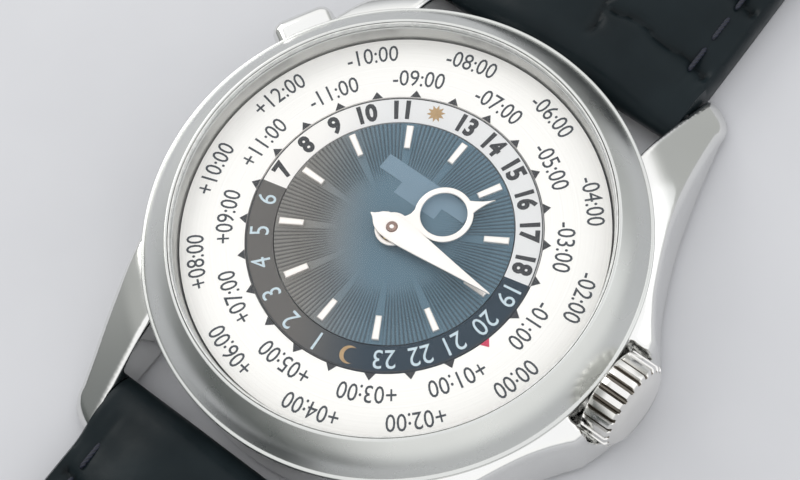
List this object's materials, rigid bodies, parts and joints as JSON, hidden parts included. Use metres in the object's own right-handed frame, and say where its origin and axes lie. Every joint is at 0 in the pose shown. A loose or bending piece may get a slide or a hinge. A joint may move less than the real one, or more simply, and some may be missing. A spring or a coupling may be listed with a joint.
{
  "type": "world time wristwatch",
  "caption": "Round steel world time wristwatch with a turning day ring, an offset ring, a corrector pusher, a winding crown and a padded strap laid open.",
  "frame": {"origin": "centre of the flat back face of the case, on the surface that the watch lies on", "axes": "+Z out of the dial, +Y towards 12 o'clock, +X towards 3 o'clock and the crown"},
  "size_m": [0.0435, 0.2482, 0.0095],
  "materials": {
    "case_steel": "mirror polished",
    "glass": "clear, polished",
    "gasket": "matt",
    "flange": "satin",
    "movement_plate": "fine grained, nickel toned",
    "bridge": "striped, nickel toned",
    "steel_part": "polished",
    "gilt": "satin",
    "rotor": "satin, heavy metal",
    "balance": "polished",
    "hairspring": "blued",
    "ruby": "polished",
    "dial": "engine turned, slate blue",
    "day_ring": "satin, pale half and slate half",
    "offset_ring": "satin silver white",
    "hands": "faceted, polished",
    "strap_leather": "square scaled, semi matt",
    "buckle_steel": "polished"
  },
  "bodies": {
    "case": {"case_middle": "case_steel", "case_back": "case_steel", "back_crystal": "glass", "back_gasket": "gasket", "bezel": "case_steel", "crystal": "glass", "crystal_gasket": "gasket", "rehaut": "flange", "crown_tube": "case_steel", "pusher_sleeve": "steel_part", "movement_ring": "movement_plate", "main_plate": "movement_plate", "barrel_bridge": "bridge", "train_bridge": "bridge", "balance_cock": "bridge", "jewels": "ruby", "bridge_screws": "steel_part", "hairspring": "hairspring", "day_ring_guide": "movement_plate", "dial_centre": "dial", "hour_markers": "hands", "spring_bar_12": "steel_part", "spring_bar_6": "steel_part"},
    "winding": {"winding_pinion": "steel_part"},
    "crown": {"crown": "case_steel", "winding_stem": "steel_part", "crown_gasket": "gasket"},
    "crown_wheel": {"crown_wheel": "steel_part"},
    "ratchet": {"ratchet_wheel": "steel_part"},
    "barrel": {"barrel": "gilt"},
    "minute": {"centre_wheel": "gilt", "cannon_pinion": "steel_part", "minute_hand": "hands", "hand_cap": "hands"},
    "minute_wheel": {"minute_wheel": "gilt"},
    "hour": {"hour_wheel": "gilt", "hour_hand": "hands"},
    "day_wheel": {"day_wheel": "gilt"},
    "day_ring": {"day_ring": "day_ring"},
    "city_ring": {"city_ring": "offset_ring"},
    "third_wheel": {"third_wheel": "gilt"},
    "fourth_wheel": {"fourth_wheel": "gilt"},
    "escape_wheel": {"escape_wheel": "steel_part"},
    "pallet_fork": {"pallet_fork": "steel_part"},
    "balance": {"balance": "balance"},
    "micro_rotor": {"micro_rotor": "rotor"},
    "pusher": {"pusher": "case_steel"},
    "strap_12": {"strap_12": "strap_leather", "fixed_keeper": "strap_leather"},
    "loose_keeper": {"loose_keeper": "strap_leather"},
    "buckle": {"buckle_frame": "buckle_steel", "buckle_bar": "steel_part"},
    "tongue": {"buckle_tongue": "buckle_steel"},
    "strap_6": {"strap_6": "strap_leather"}
  },
  "joints": [
    {"name": "minute_turn", "type": "hinge", "parent": "case", "child": "minute", "pos_m": [0, 0, 0], "axis": [0, 0, -1], "continuous": true},
    {"name": "hour_turn", "type": "hinge", "parent": "case", "child": "hour", "pos_m": [0, 0, 0], "axis": [0, 0, -1], "continuous": true},
    {"name": "minute_wheel_turn", "type": "hinge", "parent": "case", "child": "minute_wheel", "pos_m": [0.00219, -0.00379, 0], "axis": [0, 0, -1], "continuous": true},
    {"name": "day_wheel_turn", "type": "hinge", "parent": "case", "child": "day_wheel", "pos_m": [-0.00271, 0.00582, 0], "axis": [0, 0, -1], "continuous": true},
    {"name": "day_ring_turn", "type": "hinge", "parent": "case", "child": "day_ring", "pos_m": [0, 0, 0], "axis": [0, 0, -1], "continuous": true},
    {"name": "city_ring_turn", "type": "hinge", "parent": "case", "child": "city_ring", "pos_m": [0, 0, 0], "axis": [0, 0, -1], "continuous": true},
    {"name": "barrel_turn", "type": "hinge", "parent": "case", "child": "barrel", "pos_m": [0.00314, 0.00544, 0], "axis": [0, 0, -1], "continuous": true},
    {"name": "third_wheel_turn", "type": "hinge", "parent": "case", "child": "third_wheel", "pos_m": [-0.00372, -0.00135, 0], "axis": [0, 0, -1], "continuous": true},
    {"name": "fourth_wheel_turn", "type": "hinge", "parent": "case", "child": "fourth_wheel", "pos_m": [-0.00659, -0.00329, 0], "axis": [0, 0, -1], "continuous": true},
    {"name": "escape_turn", "type": "hinge", "parent": "case", "child": "escape_wheel", "pos_m": [-0.00901, -0.0016, 0], "axis": [0, 0, -1], "continuous": true},
    {"name": "pallet_fork_swing", "type": "hinge", "parent": "case", "child": "pallet_fork", "pos_m": [-0.0084, 0.00067, 0], "axis": [0, 0, -1], "range_deg": [-5, 5]},
    {"name": "balance_swing", "type": "hinge", "parent": "case", "child": "balance", "pos_m": [-0.00756, 0.00381, 0], "axis": [0, 0, -1], "range_deg": [-135, 135], "stiffness_Nm_per_rad": 0.00000036},
    {"name": "rotor_turn", "type": "hinge", "parent": "case", "child": "micro_rotor", "pos_m": [0.0054, -0.0071, 0], "axis": [0, 0, -1], "continuous": true},
    {"name": "crown_turn", "type": "hinge", "parent": "case", "child": "winding", "pos_m": [0, 0, 0.0049], "axis": [1, 0, 0], "continuous": true},
    {"name": "crown_pull", "type": "slide", "parent": "winding", "child": "crown", "axis": [1, 0, 0], "range_m": [0, 0.001]},
    {"name": "crown_wheel_turn", "type": "hinge", "parent": "case", "child": "crown_wheel", "pos_m": [0.0044, 0, 0], "axis": [0, 0, -1], "continuous": true},
    {"name": "ratchet_turn", "type": "hinge", "parent": "case", "child": "ratchet", "pos_m": [0.00314, 0.00544, 0], "axis": [0, 0, -1], "continuous": true},
    {"name": "pusher_press", "type": "slide", "parent": "case", "child": "pusher", "axis": [0.866, -0.5, 0], "range_m": [0, 0.001], "stiffness_N_per_m": 1500, "springref_m": -0.0005},
    {"name": "strap_12_hinge", "type": "hinge", "parent": "case", "child": "strap_12", "pos_m": [0, 0.0225, 0.0023], "axis": [1, 0, 0], "range_deg": [-80, 30]},
    {"name": "strap_6_hinge", "type": "hinge", "parent": "case", "child": "strap_6", "pos_m": [0, -0.0225, 0.0023], "axis": [1, 0, 0], "range_deg": [-30, 80]},
    {"name": "loose_keeper_slide", "type": "slide", "parent": "strap_12", "child": "loose_keeper", "axis": [0, 1, 0], "range_m": [-0.01, 0.004]},
    {"name": "buckle_hinge", "type": "hinge", "parent": "strap_12", "child": "buckle", "pos_m": [0, 0.0975, 0.00165], "axis": [1, 0, 0], "range_deg": [-45, 45]},
    {"name": "tongue_hinge", "type": "hinge", "parent": "buckle", "child": "tongue", "pos_m": [0, 0.0975, 0.00165], "axis": [1, 0, 0], "range_deg": [0, 80]}
  ],
  "couplings": [
    {"joint": "hour_turn", "follows": "minute_turn", "ratio": 0.083333},
    {"joint": "minute_wheel_turn", "follows": "minute_turn", "ratio": -0.33333},
    {"joint": "day_wheel_turn", "follows": "minute_turn", "ratio": -0.1},
    {"joint": "day_ring_turn", "follows": "minute_turn", "ratio": -0.041667},
    {"joint": "barrel_turn", "follows": "minute_turn", "ratio": -0.125},
    {"joint": "third_wheel_turn", "follows": "minute_turn", "ratio": -8},
    {"joint": "fourth_wheel_turn", "follows": "escape_turn", "ratio": -0.13462},
    {"joint": "crown_wheel_turn", "follows": "crown_turn", "ratio": 0.4},
    {"joint": "ratchet_turn", "follows": "crown_turn", "ratio": -0.28571}
  ]
}
